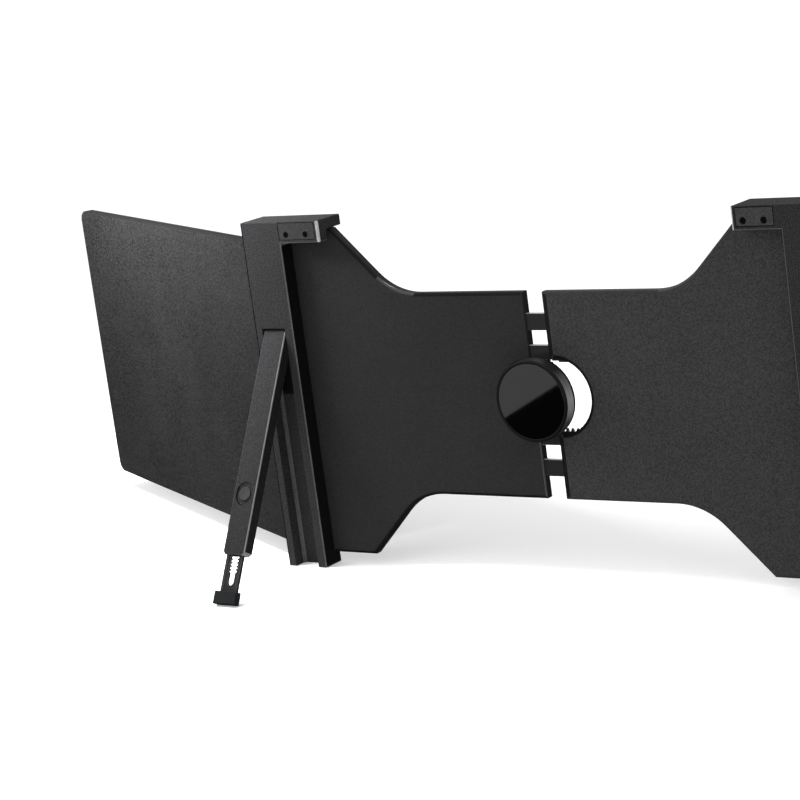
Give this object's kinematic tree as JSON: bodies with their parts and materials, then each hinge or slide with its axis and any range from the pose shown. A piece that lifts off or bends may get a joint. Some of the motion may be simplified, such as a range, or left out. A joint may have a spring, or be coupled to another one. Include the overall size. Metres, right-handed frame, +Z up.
{
  "type": "laptop screen extender",
  "caption": "Pair of side screens hinged to posts on a sliding back plate with a central knob; hooks over a laptop's lid, with fold-out legs that stand on the table.",
  "frame": {"origin": "under the middle of the object's box, on the table that the posts and the left leg's foot stand on", "axes": "+X to the right seen from behind the laptop, +Y towards the laptop's user, +Z up"},
  "size_m": [1.012, 0.2602, 0.2335],
  "materials": {
    "hub_plate": "fine-textured black",
    "steel": "bright",
    "knob_band": "satin, turned",
    "knob_rim": "polished bevel",
    "knob_face": "high gloss, bare",
    "gear": "moulded",
    "post": "fine spark-eroded texture",
    "post_cover": "fine texture",
    "back_plate": "powder coated, fine texture",
    "plate_front": "powder coated",
    "bars": "dark anodised, satin",
    "bracket": "fine texture",
    "black_screw": "black oxide",
    "pads": "matt",
    "hinge": "black",
    "screen_back": "fine grained texture",
    "bezel": "fine matt",
    "display": "anti-glare, switched off",
    "backlight": "diffuser sheet",
    "board": "circuit board",
    "socket": "plated",
    "small_button": "moulded",
    "leg": "fine texture",
    "leg_button": "satin",
    "slider": "moulded, semi-matt",
    "foot": "matt"
  },
  "bodies": {
    "hub": {"hub_plate": "hub_plate", "hub_axle": "steel", "hub_clip": "steel"},
    "knob": {"knob_shell": "knob_band", "knob_rim": "knob_rim", "knob_face": "knob_face", "pinion_gear": "gear"},
    "left_arm": {"left_post_housing": "post", "left_post_cover": "post_cover", "left_plate_casting": "back_plate", "left_plate_front": "plate_front", "left_guide_bar": "bars", "left_rack_bar": "bars", "left_hook_plate": "steel", "left_bracket_cover": "bracket", "left_bracket_screws": "black_screw", "left_lid_pads": "pads", "left_leg_pin": "steel", "left_hinge_base": "hinge", "left_hinge_pins": "steel"},
    "left_screen": {"left_screen_shell": "screen_back", "left_screen_bezel": "bezel", "left_screen_glass": "display", "left_screen_backlight": "backlight", "left_screen_board": "board", "left_screen_ports": "socket", "left_screen_hinge": "hinge"},
    "left_power": {"left_power_button": "small_button"},
    "left_leg": {"left_leg_shell": "leg", "left_button_spring": "steel"},
    "left_button": {"left_leg_button": "leg_button"},
    "left_foot": {"left_foot_slider": "slider", "left_foot_pad": "foot"},
    "right_arm": {"right_post_housing": "post", "right_post_cover": "post_cover", "right_plate_casting": "back_plate", "right_plate_front": "plate_front", "right_guide_bar": "bars", "right_rack_bar": "bars", "right_hook_plate": "steel", "right_bracket_cover": "bracket", "right_bracket_screws": "black_screw", "right_lid_pads": "pads", "right_leg_pin": "steel", "right_hinge_base": "hinge", "right_hinge_pins": "steel"},
    "right_screen": {"right_screen_shell": "screen_back", "right_screen_bezel": "bezel", "right_screen_glass": "display", "right_screen_backlight": "backlight", "right_screen_board": "board", "right_screen_ports": "socket", "right_screen_hinge": "hinge"},
    "right_power": {"right_power_button": "small_button"},
    "right_leg": {"right_leg_shell": "leg", "right_button_spring": "steel"},
    "right_button": {"right_leg_button": "leg_button"},
    "right_foot": {"right_foot_slider": "slider", "right_foot_pad": "foot"}
  },
  "joints": [
    {"name": "left_arm_slide", "type": "slide", "parent": "hub", "child": "left_arm", "axis": [-1, 0, 0], "range_m": [-0.003, 0.02]},
    {"name": "right_arm_slide", "type": "slide", "parent": "hub", "child": "right_arm", "axis": [1, 0, 0], "range_m": [-0.003, 0.02]},
    {"name": "knob_turn", "type": "hinge", "parent": "hub", "child": "knob", "pos_m": [0, -0.03556, 0.1173], "axis": [0, 1, 0], "range_deg": [-8.3, 53.5]},
    {"name": "left_screen_hinge", "type": "hinge", "parent": "left_arm", "child": "left_screen", "pos_m": [-0.2146, -0.02276, 0.117], "axis": [0, 0, -1], "range_deg": [-38, 152]},
    {"name": "left_power_press", "type": "slide", "parent": "left_screen", "child": "left_power", "axis": [0.8829, -0.4695, 0], "range_m": [0, 0.0006], "stiffness_N_per_m": 1500},
    {"name": "left_leg_hinge", "type": "hinge", "parent": "left_arm", "child": "left_leg", "pos_m": [-0.1975, -0.03636, 0.1585], "axis": [-1, 0, 0], "range_deg": [-29.5, 10]},
    {"name": "left_button_press", "type": "slide", "parent": "left_leg", "child": "left_button", "axis": [0, 0.8704, -0.4924], "range_m": [0, 0.0011], "stiffness_N_per_m": 800},
    {"name": "left_foot_slide", "type": "slide", "parent": "left_leg", "child": "left_foot", "axis": [0, -0.4924, -0.8704], "range_m": [-0.0235, 0.016]},
    {"name": "right_screen_hinge", "type": "hinge", "parent": "right_arm", "child": "right_screen", "pos_m": [0.21253, -0.01836, 0.117], "axis": [0, 0, 1], "range_deg": [-38, 152]},
    {"name": "right_power_press", "type": "slide", "parent": "right_screen", "child": "right_power", "axis": [-0.8829, -0.4695, 0], "range_m": [0, 0.0006], "stiffness_N_per_m": 1500},
    {"name": "right_leg_hinge", "type": "hinge", "parent": "right_arm", "child": "right_leg", "pos_m": [0.1975, -0.03636, 0.1585], "axis": [-1, 0, 0], "range_deg": [0, 39.5]},
    {"name": "right_button_press", "type": "slide", "parent": "right_leg", "child": "right_button", "axis": [0, 1, 0], "range_m": [0, 0.0011], "stiffness_N_per_m": 800},
    {"name": "right_foot_slide", "type": "slide", "parent": "right_leg", "child": "right_foot", "axis": [0, 0, -1], "range_m": [0, 0.0395]}
  ],
  "couplings": [
    {"joint": "knob_turn", "follows": "left_arm_slide", "rad_per_m": 46.296},
    {"joint": "right_arm_slide", "follows": "left_arm_slide", "ratio": 1}
  ]
}
